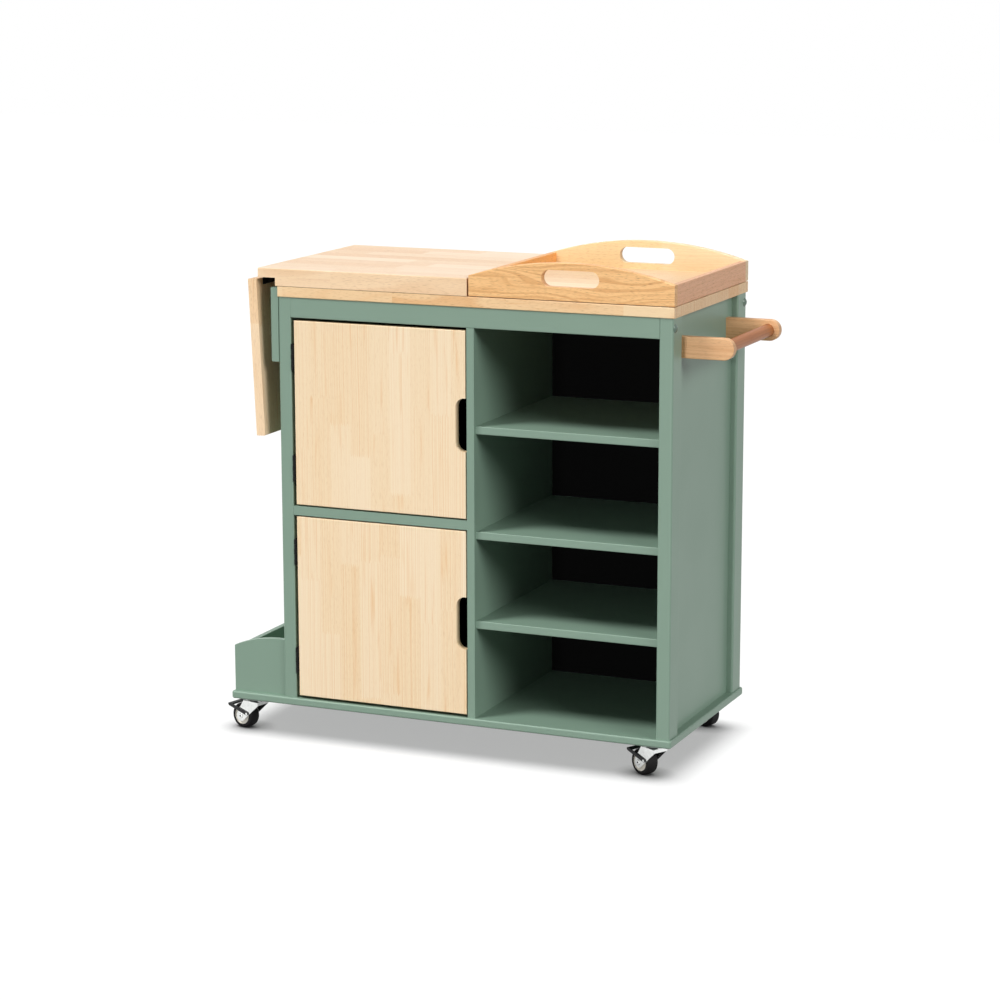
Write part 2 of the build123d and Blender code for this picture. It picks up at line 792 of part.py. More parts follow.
def make_axle():
    """Hollow rivet through both legs, with a dimple in each head."""
    reach = fork_outer + axle_head_t
    axle = rod((caster_trail, -reach, wheel_r), (0, 1, 0), axle_r, 2 * reach)
    for side in (-1, 1):
        face = (caster_trail, side * fork_outer, wheel_r)
        head = rod(face, (0, side, 0), axle_head_r, axle_head_t)
        axle += fillet(head.edges().sort_by(Axis.Y)[-1 if side > 0 else 0], axle_head_round)
        tip = (caster_trail, side * (reach - axle_dimple_depth), wheel_r)
        axle -= rod(tip, (0, side, 0), axle_dimple_r, axle_dimple_depth + cut_margin)
    return axle


def make_wheel():
    """Wheel with rounded shoulders, a dished side and a hub bored for the axle."""
    half, hub = wheel_width / 2, wheel_width / 2 + wheel_hub_extra
    bore = axle_r + axle_clearance
    dish = half - wheel_dish_depth
    with BuildSketch(Plane.XY) as profile:
        with BuildLine():
            rim = wheel_r - wheel_shoulder_r
            Polyline(
                (bore, hub), (wheel_hub_r, hub), (wheel_hub_r, dish), (wheel_dish_r, dish),
                (wheel_dish_r, half), (rim, half),
            )
            RadiusArc((rim, half), (wheel_r, half - wheel_shoulder_r), wheel_shoulder_r)
            Line((wheel_r, half - wheel_shoulder_r), (wheel_r, wheel_shoulder_r - half))
            RadiusArc((wheel_r, wheel_shoulder_r - half), (rim, -half), wheel_shoulder_r)
            Polyline(
                (rim, -half), (wheel_dish_r, -half), (wheel_dish_r, -dish), (wheel_hub_r, -dish),
                (wheel_hub_r, -hub), (bore, -hub), (bore, hub),
            )
        make_face()
    return Pos(caster_trail, 0, wheel_r) * revolve(profile.sketch, Axis.Y)


def pedal_pivot():
    return caster_trail - pedal_pivot_ahead, wheel_r + pedal_pivot_up


def make_pedal_rivets():
    """Stub rivet on the outside of each leg, where the brake pedal turns."""
    x, z = pedal_pivot()
    length = pedal_side_gap + pedal_arm_t + pedal_rivet_cap
    return [rod((x, side * fork_outer, z), (0, side, 0), pedal_pivot_r, length) for side in (-1, 1)]


def make_pedal():
    """Brake pedal: an arm outside each leg and a tread across them behind the wheel."""
    x, z = pedal_pivot()
    slope = degrees(atan2(pedal_rise, pedal_reach))
    length = hypot(pedal_rise, pedal_reach)
    inner = fork_outer + pedal_side_gap
    arms = []
    for y0 in (-inner - pedal_arm_t, inner):
        plane = Plane(origin=(x, y0 + pedal_arm_t, z), x_dir=(1, 0, 0), z_dir=(0, -1, 0))
        with BuildSketch(plane) as outline:
            with Locations((length / 2, 0)):
                SlotOverall(length + pedal_arm_height, pedal_arm_height)
            Circle(pedal_pivot_r + pedal_pivot_clearance, mode=Mode.SUBTRACT)
        arms.append(extrude(outline.sketch, pedal_arm_t))
    tread = board(
        length - pedal_tread_length / 2, length + pedal_tread_length / 2,
        -inner - pedal_arm_t, inner + pedal_arm_t, -pedal_tread_t / 2, pedal_tread_t / 2,
    )
    tread = fillet(tread.edges().filter_by(Axis.Y), pedal_tread_round)
    pedal = arms[0] + arms[1] + Pos(x, 0, z) * tread
    return pedal.rotate(Axis((x, 0, z), (0, 1, 0)), -slope)


caster_x_left = base_x0 + caster_inset_left
caster_x_right = base_x1 - caster_inset_right
caster_y_front = base_y0 + caster_inset_front
caster_y_rear = base_y1 - caster_inset_rear
casters = {
    "front_left": (caster_x_left, caster_y_front, heading_front_left_deg, True),
    "front_right": (caster_x_right, caster_y_front, heading_front_right_deg, True),
    "rear_left": (caster_x_left, caster_y_rear, heading_rear_left_deg, False),
    "rear_right": (caster_x_right, caster_y_rear, heading_rear_right_deg, False),
}

plates, screws = [], []
for corner, (x, y, heading, has_brake) in casters.items():
    upright = Location((x, y, 0))
    turned = upright * Location((0, 0, 0), (0, 0, heading))
    plates.append(upright * make_caster_plate())
    for hole_x, hole_y in caster_holes:
        screws.append(upright * make_caster_screw(hole_x, hole_y))
        pilot_r = screw_r + screw_hole_clearance
        pilot_top = (x + hole_x, y + hole_y, caster_height)
        base -= rod(pilot_top, (0, 0, 1), pilot_r, screw_length - caster_plate_t)
    fork = make_fork()
    if has_brake:
        for rivet in make_pedal_rivets():
            fork += rivet
        save("brake_pedal_" + corner, turned * make_pedal())
    save("caster_fork_" + corner, turned * fork, turned * make_axle())
    save("caster_wheel_" + corner, turned * make_wheel())
save("caster_plates", *plates)
save("caster_screws", *screws)
save("base_board", base)


# All nodes are moved so that the origin is on the floor under the middle of the cart
whole = Compound([solid for solids in nodes.values() for solid in solids]).bounding_box()
offset_x = (whole.min.X + whole.max.X) / 2
offset_y = (whole.min.Y + whole.max.Y) / 2
to_origin = Location((-offset_x, -offset_y, 0))

os.makedirs("parts", exist_ok=True)
for name, solids in nodes.items():
    placed = [to_origin * solid for solid in solids]
    shape = placed[0] if len(placed) == 1 else Compound(children=placed)
    export_step(shape, os.path.join("parts", name + ".step"))
print("offset", offset_x, offset_y, "size", whole.size)
print("stay ratio", stay_ratio, "stay at rest", stay_rest_deg)
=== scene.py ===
from math import cos, pi, radians, sin

import bmesh
import bpy
from mathutils import Euler, Matrix, Vector


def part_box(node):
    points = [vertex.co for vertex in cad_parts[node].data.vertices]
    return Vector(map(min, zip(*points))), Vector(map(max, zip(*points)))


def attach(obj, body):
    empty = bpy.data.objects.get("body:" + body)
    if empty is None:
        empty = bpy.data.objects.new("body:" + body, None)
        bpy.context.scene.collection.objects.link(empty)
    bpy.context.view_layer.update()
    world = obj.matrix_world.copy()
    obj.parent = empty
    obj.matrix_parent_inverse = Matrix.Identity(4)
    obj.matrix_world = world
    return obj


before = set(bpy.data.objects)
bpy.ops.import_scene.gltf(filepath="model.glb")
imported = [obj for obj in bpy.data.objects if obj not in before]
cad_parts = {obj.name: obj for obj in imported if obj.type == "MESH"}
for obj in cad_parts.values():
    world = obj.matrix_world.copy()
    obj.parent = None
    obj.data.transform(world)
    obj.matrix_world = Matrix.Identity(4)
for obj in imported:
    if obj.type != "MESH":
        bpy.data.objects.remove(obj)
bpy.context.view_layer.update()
scene = bpy.context.scene


# Camera. It stands in front of the cart, to the right of the towel handle and a little above the
# worktop, and looks slightly down. Its place is given from the front right corner of the slab.
slab_low, slab_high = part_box("worktop_slab")
CAMERA_FROM_SLAB_CORNER = Vector((1.7138, -4.7726, 0.6818))
CAMERA_TURN = 0.40628
CAMERA_DIP = 0.20093
CAMERA_ROLL = -0.00172
CAMERA_FOCAL_PX = 2857.65
CAMERA_REACH = 100
FRAME_PX = 1000
SENSOR_MM = 36

camera_data = bpy.data.cameras.new("camera")
camera_data.sensor_width = SENSOR_MM
camera_data.lens = SENSOR_MM * CAMERA_FOCAL_PX / FRAME_PX
camera_data.clip_end = CAMERA_REACH
camera = bpy.data.objects.new("camera", camera_data)
slab_corner = Vector((slab_high.x, slab_low.y, slab_high.z))
facing = Euler((pi / 2 - CAMERA_DIP, 0, CAMERA_TURN)).to_matrix()
facing = facing @ Matrix.Rotation(CAMERA_ROLL, 3, "Z")
camera.matrix_world = Matrix.Translation(slab_corner + CAMERA_FROM_SLAB_CORNER) @ facing.to_4x4()
scene.collection.objects.link(camera)
scene.camera = camera


# Room. The studio round the cart is white to the eye and to mirrors, and lights the cart only
# weakly, so that the lamps shape it.
def linear(hex_colour):
    """An sRGB hex colour as linear RGBA."""
    channels = [int(hex_colour[i : i + 2], 16) / 255 for i in (0, 2, 4)]
    return [c / 12.92 if c <= 0.04045 else ((c + 0.055) / 1.055) ** 2.4 for c in channels] + [1]


def add(tree, kind, settings=None, links=None):
    """Add a node; a link is a socket, a node for its first output, or a plain value."""
    node = tree.nodes.new(kind)
    for name, value in (settings or {}).items():
        setattr(node, name, value)
    for socket, value in (links or {}).items():
        if isinstance(value, bpy.types.Node):
            value = value.outputs[0]
        if isinstance(value, bpy.types.NodeSocket):
            tree.links.new(value, node.inputs[socket])
        else:
            node.inputs[socket].default_value = value
    return node


def seen_by_eye(tree):
    """1 for rays from the camera, or from it by way of a mirror or glass, and 0 for others."""
    path = add(tree, "ShaderNodeLightPath")
    mirrored = add(
        tree, "ShaderNodeMath", {"operation": "MAXIMUM"},
        {0: path.outputs["Is Glossy Ray"], 1: path.outputs["Is Transmission Ray"]},
    )
    return add(
        tree, "ShaderNodeMath", {"operation": "MAXIMUM"},
        {0: path.outputs["Is Camera Ray"], 1: mirrored},
    )


ROOM_WHITE = "FFFFFF"
ROOM_SEEN = 1.0
ROOM_LIGHT = 0.10

world = bpy.data.worlds.new("white_room")
scene.world = world
world.use_nodes = True
room = world.node_tree
room.nodes.clear()
room_strength = add(
    room, "ShaderNodeMix", {"data_type": "FLOAT"}, {0: seen_by_eye(room), 2: ROOM_LIGHT, 3: ROOM_SEEN}
)
room_light = add(
    room, "ShaderNodeBackground", None, {"Color": linear(ROOM_WHITE), "Strength": room_strength}
)
add(room, "ShaderNodeOutputWorld", None, {"Surface": room_light})


# Floor. A wide sheet of white studio paper. It glows a little, so that it runs into the white
# room, and the glow fades right beside a wheel, as painted contact shade.
FLOOR_HALF = 15
FLOOR_PAPER = "CBCBCB"
FLOOR_BOUNCE = "6E6E6E"
FLOOR_GLOW = 0.42
PAPER_FIBRE_MM = 1.1
PAPER_RELIEF = 0.02
# The glow's fade beside a wheel is painted contact shade
CONTACT_REACH = 0.045
CONTACT_SAMPLES = 8
CONTACT_POWER = 2.0

floor_mesh = bmesh.new()
bmesh.ops.create_grid(floor_mesh, x_segments=1, y_segments=1, size=FLOOR_HALF)
floor_data = bpy.data.meshes.new("floor")
floor_mesh.to_mesh(floor_data)
floor_mesh.free()
floor = bpy.data.objects.new("floor", floor_data)
scene.collection.objects.link(floor)

paper = bpy.data.materials.new("white_studio_paper")
paper.use_nodes = True
tree = paper.node_tree
tree.nodes.clear()
seen = seen_by_eye(tree)
coords = add(tree, "ShaderNodeTexCoord")
fibre = add(
    tree, "ShaderNodeTexNoise", None,
    {"Vector": coords.outputs["Object"], "Scale": 1000 / PAPER_FIBRE_MM},
)
fibre_bump = add(tree, "ShaderNodeBump", None, {"Height": fibre, "Strength": PAPER_RELIEF})
shade = add(
    tree, "ShaderNodeMix", {"data_type": "RGBA"},
    {0: seen, 6: linear(FLOOR_BOUNCE), 7: linear(FLOOR_PAPER)},
)
matte = add(tree, "ShaderNodeBsdfDiffuse", None, {"Color": shade.outputs[2], "Normal": fibre_bump})
contact = add(
    tree, "ShaderNodeAmbientOcclusion", {"samples": CONTACT_SAMPLES}, {"Distance": CONTACT_REACH}
)
open_floor = add(
    tree, "ShaderNodeMath", {"operation": "POWER"}, {0: contact.outputs["AO"], 1: CONTACT_POWER}
)
glow_share = add(tree, "ShaderNodeMath", {"operation": "MULTIPLY"}, {0: seen, 1: FLOOR_GLOW})
glow_strength = add(tree, "ShaderNodeMath", {"operation": "MULTIPLY"}, {0: glow_share, 1: open_floor})
glow = add(tree, "ShaderNodeEmission", None, {"Strength": glow_strength})
both = add(tree, "ShaderNodeAddShader", None, {0: matte, 1: glow})
add(tree, "ShaderNodeOutputMaterial", None, {"Surface": both})
floor_data.materials.append(paper)


# Lamps. The key stands high on the left, the fill on the right and a weaker lamp low in front. Two
# more light the sides away from the camera, and the floor has one of its own, straight above it,
# which only the base board and the casters keep off the floor.
LAMPS = {
    "key": {"azimuth": -45, "elevation": 58, "softness": 17.5, "strength": 2.37},
    "fill": {"azimuth": 70, "elevation": 25, "softness": 25, "strength": 1.66},
    "front": {"azimuth": 0, "elevation": 3, "softness": 10, "strength": 1.14},
    "rear": {"azimuth": 197, "elevation": 5, "softness": 30, "strength": 2.1},
    "left": {"azimuth": -100, "elevation": 8, "softness": 30, "strength": 0.7},
    "floor": {"azimuth": 0, "elevation": 90, "softness": 60, "strength": 3.0},
}
CORNERS = ("front_left", "front_right", "rear_left", "rear_right")
LOW_PIECES = ["base_board", "caster_plates"] + [
    part + corner for part in ("caster_fork_", "caster_wheel_") for corner in CORNERS
]

only_floor = bpy.data.collections.new("lit_by_floor_lamp")
only_floor.objects.link(floor)
low_pieces = bpy.data.collections.new("shade_the_floor")
for name in LOW_PIECES:
    low_pieces.objects.link(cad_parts[name])
all_but_floor = bpy.data.collections.new("lit_by_cart_lamps")
all_but_floor.objects.link(floor)
all_but_floor.collection_objects[0].light_linking.link_state = "EXCLUDE"

# Azimuth is from the front, to the right. Elevation, azimuth and softness are degrees.
for lamp_name, lamp in LAMPS.items():
    lamp_data = bpy.data.lights.new(lamp_name, "SUN")
    lamp_data.angle = radians(lamp["softness"])
    lamp_data.energy = lamp["strength"]
    lamp_object = bpy.data.objects.new(lamp_name, lamp_data)
    lamp_turn = Euler((-radians(lamp["elevation"]), 0, radians(lamp["azimuth"]))).to_matrix()
    towards_lamp = lamp_turn @ Vector((0, -1, 0))
    lamp_object.rotation_euler = towards_lamp.to_track_quat("Z", "Y").to_euler()
    lamp_object.visible_glossy = lamp_name not in ("rear", "left")
    linking = lamp_object.light_linking
    linking.receiver_collection = only_floor if lamp_name == "floor" else all_but_floor
    if lamp_name == "floor":
        linking.blocker_collection = low_pieces
    scene.collection.objects.link(lamp_object)


# Painted boards. The base, posts, rails, panels, shelves, bin and stay batten are fibreboard,
# sanded and sprayed with satin sage green lacquer. It levels to a faint orange peel, and handling
# leaves its gloss slightly uneven.
def dress(node_names, material):
    """Give CAD nodes a material."""
    for name in node_names:
        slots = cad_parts[name].data.materials
        slots.clear()
        slots.append(material)


def new_material(name):
    """A material with a Principled shader, and the place and direction of each point on a piece."""
    material = bpy.data.materials.new(name)
    material.use_nodes = True
    tree = material.node_tree
    tree.nodes.clear()
    coords = add(tree, "ShaderNodeTexCoord")
    shader = add(tree, "ShaderNodeBsdfPrincipled")
    add(tree, "ShaderNodeOutputMaterial", None, {"Surface": shader})
    return material, tree, coords, shader


LACQUER_GREEN, LACQUER_GREEN_DEEP = "829B8A", "7B9483"
MOTTLE_MM = 160
ORANGE_PEEL_MM = 1.6
ORANGE_PEEL_RELIEF = 0.05
LACQUER_GLOSSY, LACQUER_HANDLED = 0.40, 0.48
LACQUER_IOR = 1.47
RELIEF_DEPTH = 0.0002

sage_lacquer, tree, coords, shader = new_material("satin_lacquered_fibreboard")
mottle = add(
    tree, "ShaderNodeTexNoise", None,
    {"Vector": coords.outputs["Object"], "Scale": 1000 / MOTTLE_MM, "Detail": 3.0},
)
green = add(
    tree, "ShaderNodeMix", {"data_type": "RGBA"},
    {0: mottle, 6: linear(LACQUER_GREEN), 7: linear(LACQUER_GREEN_DEEP)},
)
peel = add(
    tree, "ShaderNodeTexNoise", None,
    {"Vector": coords.outputs["Object"], "Scale": 1000 / ORANGE_PEEL_MM, "Detail": 1.0},
)
bump = add(
    tree, "ShaderNodeBump", None,
    {"Height": peel, "Strength": ORANGE_PEEL_RELIEF, "Distance": RELIEF_DEPTH},
)
gloss = add(
    tree, "ShaderNodeMapRange", None,
    {"Value": mottle, "To Min": LACQUER_GLOSSY, "To Max": LACQUER_HANDLED},
)
tree.links.new(green.outputs[2], shader.inputs["Base Color"])
tree.links.new(gloss.outputs[0], shader.inputs["Roughness"])
tree.links.new(bump.outputs[0], shader.inputs["Normal"])
shader.inputs["IOR"].default_value = LACQUER_IOR
dress(
    [
        "base_board", "post_front_left", "post_front_right", "post_rear_left", "post_rear_right",
        "front_top_rail", "rear_top_rail", "side_panel_left", "side_panel_right",
        "centre_divider", "cupboard_shelf", "shelf_lower", "shelf_middle", "shelf_upper",
        "stay_batten", "bin_front_board", "bin_rear_board", "bin_side_board",
    ],
    sage_lacquer,
)


# Back panel. Thin hardboard set between the rear posts, green outside like the boards. Inside,
# where it closes the compartments, it is coloured near black as painted shade. It is dull and
# hardly mirrors the room.
# The inside blacks are painted shade for the deep compartments, not a colour of the board
SHADE_BLACK, SHADE_BLACK_MOTTLED = "050505", "0A0A0A"
HARDBOARD_GRAIN_MM = 2.5
HARDBOARD_RELIEF = 0.15
HARDBOARD_ROUGHNESS = 0.8
HARDBOARD_SPECULAR = 0.06

back_board, tree, coords, shader = new_material("hardboard_with_painted_shade_inside")
grain = add(
    tree, "ShaderNodeTexNoise", None,
    {"Vector": coords.outputs["Object"], "Scale": 1000 / HARDBOARD_GRAIN_MM, "Detail": 3.0},
)
inside = add(
    tree, "ShaderNodeMix", {"data_type": "RGBA"},
    {0: grain, 6: linear(SHADE_BLACK), 7: linear(SHADE_BLACK_MOTTLED)},
)
outside = add(
    tree, "ShaderNodeMix", {"data_type": "RGBA"},
    {0: grain, 6: linear(LACQUER_GREEN), 7: linear(LACQUER_GREEN_DEEP)},
)
back_low, back_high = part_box("back_panel")
axes = add(tree, "ShaderNodeSeparateXYZ", None, {0: coords.outputs["Object"]})
is_outside = add(
    tree, "ShaderNodeMath", {"operation": "GREATER_THAN"},
    {0: axes.outputs["Y"], 1: (back_low.y + back_high.y) / 2},
)
two_faced = add(
    tree, "ShaderNodeMix", {"data_type": "RGBA"},
    {0: is_outside, 6: inside.outputs[2], 7: outside.outputs[2]},
)
bump = add(
    tree, "ShaderNodeBump", None,
    {"Height": grain, "Strength": HARDBOARD_RELIEF, "Distance": RELIEF_DEPTH},
)
tree.links.new(two_faced.outputs[2], shader.inputs["Base Color"])
tree.links.new(bump.outputs[0], shader.inputs["Normal"])
shader.inputs["Roughness"].default_value = HARDBOARD_ROUGHNESS
shader.inputs["Specular IOR Level"].default_value = HARDBOARD_SPECULAR
dress(["back_panel"], back_board)


# Worktop block. Rubberwood, sawn into staves, finger-jointed end to end, glued edge to edge, planed
# and lacquered. Each stave has its own tint and growth rings, with long orange streaks and short
# dark pores. Pores and rings are drawn coarser than real, to show at all.
FINGER_PITCH_MM = 4.5
FINGER_LENGTH_MM = 8
STAVES_APART = 3.0
RINGS_APART = 50.0

# The size of each pattern is given along the grain and twice across it
WOOD_PATTERNS = {
    "wander": {"size_mm": (240, 60, 60), "detail": 1.0, "distortion": 0.0},
    "streak": {"size_mm": (190, 9, 9), "detail": 2.0, "distortion": 0.5},
    "pore": {"size_mm": (12, 0.9, 0.9), "detail": 1.0, "distortion": 0.0},
    "end_grain": {"size_mm": (1.4, 1.4, 1.4), "detail": 2.0, "distortion": 0.0},
}

# A mark shows between two values of its pattern. A stave has the least share of it, and up to the
# spread more by its own chance.
WOOD_MARKS = {
    "ring": {"faint": 0.42, "full": 0.68, "least": 0.5, "spread": 1.0, "chance": "Y"},
    "streak": {"faint": 0.54, "full": 0.78, "least": 1.0, "spread": 0.0, "chance": "Y"},
    "pore": {"faint": 0.55, "full": 0.72, "least": 0.2, "spread": 1.6, "chance": "X"},
}
END_GRAIN_FAINT, END_GRAIN_FULL, END_GRAIN_SHARE = 0.25, 0.75, 0.5
FACING_FROM, FACING_FULLY = 0.75, 0.9
EDGE_SHARE = 0.7
# The seam band is painted shade of the gap under a board, together with its glue line
SEAM_MM = 1.4
SEAM_SHADE_AND_GLUE = "6B4A2C"
RING_HEIGHT = 0.2
WOOD_RELIEF = 0.12
WOOD_RELIEF_DEPTH = 0.0003
WOOD_GLOSSY, WOOD_DULL = 0.40, 0.52
WOOD_IOR = 1.45


def make_wood(
    name, along, across, colours, stave_mm, stave_length_mm, start=(0, 0), tint=1.0, ring_mm=5,
    rings=0.3, wander_mm=12, streaks=0.5, pores=0.35, edge=None, seam_z=None,
):
    """Edge-glued wood with its grain along one axis and its staves side by side along another.

    Its colours are pale, tan, streak and pore. Tint, rings, streaks and pores say how strong each is.
    """
    material, tree, coords, shader = new_material(name)
    pale, tan, streak_colour, pore_colour = colours
    axes = add(tree, "ShaderNodeSeparateXYZ", None, {0: coords.outputs["Object"]})
    depth = axes.outputs[({"X", "Y", "Z"} - {along, across}).pop()]
    length = add(
        tree, "ShaderNodeMath", {"operation": "SUBTRACT"}, {0: axes.outputs[along], 1: start[0]}
    )
    width = add(
        tree, "ShaderNodeMath", {"operation": "SUBTRACT"}, {0: axes.outputs[across], 1: start[1]}
    )

    # Which stave a point is in. The staves of a row are offset, and meet in a zigzag of fingers.
    rows = add(tree, "ShaderNodeMath", {"operation": "MULTIPLY"}, {0: width, 1: 1000 / stave_mm})
    row = add(tree, "ShaderNodeMath", {"operation": "FLOOR"}, {0: rows})
    row_chance = add(tree, "ShaderNodeTexWhiteNoise", {"noise_dimensions": "1D"}, {"W": row})
    fingers = add(
        tree, "ShaderNodeMath", {"operation": "MULTIPLY"}, {0: width, 1: 1000 / FINGER_PITCH_MM}
    )
    teeth = add(tree, "ShaderNodeMath", {"operation": "PINGPONG"}, {0: fingers, 1: 0.5})
    shifted = add(
        tree, "ShaderNodeMath", {"operation": "MULTIPLY_ADD"},
        {0: teeth, 1: 2 * FINGER_LENGTH_MM / 1000, 2: length},
    )
    run = add(
        tree, "ShaderNodeMath", {"operation": "MULTIPLY_ADD"},
        {0: row_chance, 1: stave_length_mm / 1000, 2: shifted},
    )
    pieces = add(
        tree, "ShaderNodeMath", {"operation": "MULTIPLY"}, {0: run, 1: 1000 / stave_length_mm}
    )
    piece = add(tree, "ShaderNodeMath", {"operation": "FLOOR"}, {0: pieces})
    stave = add(tree, "ShaderNodeCombineXYZ", None, {"X": row, "Y": piece, "Z": 0.5})
    chance = add(tree, "ShaderNodeTexWhiteNoise", {"noise_dimensions": "3D"}, {"Vector": stave})
    chances = add(tree, "ShaderNodeSeparateXYZ", None, {0: chance.outputs["Color"]})
    shift = add(
        tree, "ShaderNodeVectorMath", {"operation": "SCALE"},
        {0: chance.outputs["Color"], "Scale": STAVES_APART},
    )
    local = add(tree, "ShaderNodeCombineXYZ", None, {"X": length, "Y": width, "Z": depth})
    moved = add(tree, "ShaderNodeVectorMath", {"operation": "ADD"}, {0: local, 1: shift})
    pattern = {}
    for pattern_name, look in WOOD_PATTERNS.items():
        size = tuple(mm / 1000 for mm in look["size_mm"])
        scaled = add(tree, "ShaderNodeVectorMath", {"operation": "DIVIDE"}, {0: moved, 1: size})
        pattern[pattern_name] = add(
            tree, "ShaderNodeTexNoise", None,
            {"Vector": scaled, "Scale": 1.0, "Detail": look["detail"], "Distortion": look["distortion"]},
        )

    # Growth rings follow the grain and wander, which makes arches where a board is cut flat
    crossed = add(tree, "ShaderNodeMath", {"operation": "MULTIPLY"}, {0: width, 1: 1000 / ring_mm})
    wandered = add(
        tree, "ShaderNodeMath", {"operation": "MULTIPLY_ADD"},
        {0: pattern["wander"], 1: wander_mm / ring_mm, 2: crossed},
    )
    ring_place = add(
        tree, "ShaderNodeMath", {"operation": "MULTIPLY_ADD"},
        {0: chances.outputs["Z"], 1: RINGS_APART, 2: wandered},
    )
    pattern["ring"] = add(
        tree, "ShaderNodeTexNoise", {"noise_dimensions": "1D"},
        {"W": ring_place, "Scale": 1.0, "Detail": 2.0},
    )

    share = {}
    for mark, strength in {"ring": rings, "streak": streaks, "pore": pores}.items():
        look = WOOD_MARKS[mark]
        shown = add(
            tree, "ShaderNodeMapRange", {"interpolation_type": "SMOOTHSTEP"},
            {"Value": pattern[mark], "From Min": look["faint"], "From Max": look["full"]},
        )
        in_stave = add(
            tree, "ShaderNodeMath", {"operation": "MULTIPLY_ADD"},
            {
                0: chances.outputs[look["chance"]], 1: strength * look["spread"],
                2: strength * look["least"],
            },
        )
        share[mark] = add(tree, "ShaderNodeMath", {"operation": "MULTIPLY"}, {0: shown, 1: in_stave})

    # Whether a point is on an end of the board, or on one of its long edges
    normal = add(tree, "ShaderNodeSeparateXYZ", None, {0: coords.outputs["Normal"]})
    sides = {"end": along, "edge": across} if edge else {"end": along}
    on = {}
    for side, axis in sides.items():
        turned = add(tree, "ShaderNodeMath", {"operation": "ABSOLUTE"}, {0: normal.outputs[axis]})
        on[side] = add(
            tree, "ShaderNodeMapRange", {"interpolation_type": "SMOOTHSTEP"},
            {"Value": turned, "From Min": FACING_FROM, "From Max": FACING_FULLY},
        )

    # Colours are laid over the pale one: the stave's tint, rings and streaks, and pores. End grain
    # drinks more lacquer, so it is darker and speckled.
    tinted = add(
        tree, "ShaderNodeMath", {"operation": "MULTIPLY"}, {0: chance.outputs["Value"], 1: tint}
    )
    dark = add(
        tree, "ShaderNodeMath", {"operation": "MAXIMUM"}, {0: share["ring"], 1: share["streak"]}
    )
    speckle = add(
        tree, "ShaderNodeMapRange", {"interpolation_type": "SMOOTHSTEP"},
        {
            "Value": pattern["end_grain"], "From Min": END_GRAIN_FAINT, "From Max": END_GRAIN_FULL,
            "To Max": END_GRAIN_SHARE,
        },
    )
    speckled = add(tree, "ShaderNodeMath", {"operation": "MULTIPLY"}, {0: on["end"], 1: speckle})
    layers = [
        (tan, tinted), (streak_colour, dark), (pore_colour, share["pore"]), (pore_colour, speckled),
    ]

    # The edge of a glued board can show quarter grain, which is warmer than its face
    if edge:
        edged = add(tree, "ShaderNodeMath", {"operation": "MULTIPLY"}, {0: on["edge"], 1: EDGE_SHARE})
        layers.insert(1, (edge, edged))

    # Where a board sits on another, a painted shade of the gap between them, with the glue line,
    # darkens the lowest part of its sides
    if seam_z is not None:
        in_seam = add(
            tree, "ShaderNodeMapRange", {"interpolation_type": "SMOOTHSTEP"},
            {
                "Value": axes.outputs["Z"], "From Min": seam_z, "From Max": seam_z + SEAM_MM / 1000,
                "To Min": 1.0, "To Max": 0.0,
            },
        )
        layers.append((SEAM_SHADE_AND_GLUE, in_seam))
    colour = linear(pale)
    for layer_colour, layer_share in layers:
        colour = add(
            tree, "ShaderNodeMix", {"data_type": "RGBA"},
            {0: layer_share, 6: colour, 7: linear(layer_colour)},
        ).outputs[2]

    raised = add(
        tree, "ShaderNodeMath", {"operation": "MULTIPLY"}, {0: pattern["ring"], 1: RING_HEIGHT}
    )
    height = add(tree, "ShaderNodeMath", {"operation": "SUBTRACT"}, {0: raised, 1: share["pore"]})
    bump = add(
        tree, "ShaderNodeBump", None,
        {"Height": height, "Strength": WOOD_RELIEF, "Distance": WOOD_RELIEF_DEPTH},
    )
    gloss = add(
        tree, "ShaderNodeMapRange", None,
        {"Value": pattern["streak"], "To Min": WOOD_GLOSSY, "To Max": WOOD_DULL},
    )
    tree.links.new(colour, shader.inputs["Base Color"])
    tree.links.new(gloss.outputs[0], shader.inputs["Roughness"])
    tree.links.new(bump.outputs[0], shader.inputs["Normal"])
    shader.inputs["IOR"].default_value = WOOD_IOR
    return material


BLOCK_COLOURS = ("F1DCC2", "E8C6A1", "E0AE7C", "B08053")
BLOCK_EDGE = "FFDDB2"
BLOCK_STAVE_MM = 46
BLOCK_STAVE_LENGTH_MM = 330

# Where the block is cut from its glued-up sheet, which sets where its staves fall
BLOCK_CUT_FROM_LEFT = 0.132
BLOCK_CUT_FROM_FRONT = 0.278

block_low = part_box("worktop_block")[0]
block_wood = make_wood(
    "lacquered_rubberwood_block", "X", "Y", BLOCK_COLOURS, BLOCK_STAVE_MM, BLOCK_STAVE_LENGTH_MM,
    start=(block_low.x + BLOCK_CUT_FROM_LEFT, block_low.y - BLOCK_CUT_FROM_FRONT), streaks=0.4,
    edge=BLOCK_EDGE, seam_z=slab_high.z,
)
dress(["worktop_block"], block_wood)


# Worktop slab. The board under the block and the tray, glued up like the block from wider and
# shorter staves of a more mixed and yellower wood.
SLAB_COLOURS = ("FAE0B6", "F0BF86", "DF9E5C", "B08053")
SLAB_STAVE_MM = 60
SLAB_STAVE_LENGTH_MM = 230
SLAB_CUT_FROM_FRONT = 0.362

slab_wood = make_wood(
    "lacquered_rubberwood_slab", "X", "Y", SLAB_COLOURS, SLAB_STAVE_MM, SLAB_STAVE_LENGTH_MM,
    start=(slab_low.x, slab_low.y - SLAB_CUT_FROM_FRONT), rings=0.4, tint=0.9,
)
dress(["worktop_slab"], slab_wood)


# Drop leaf. Glued up like the block, with its staves running down the hanging leaf. It hangs from
# two hinges under the lip of the block.
LEAF_COLOURS = ("FFE6C4", "F7D2A4", "E3AC72", "B08053")

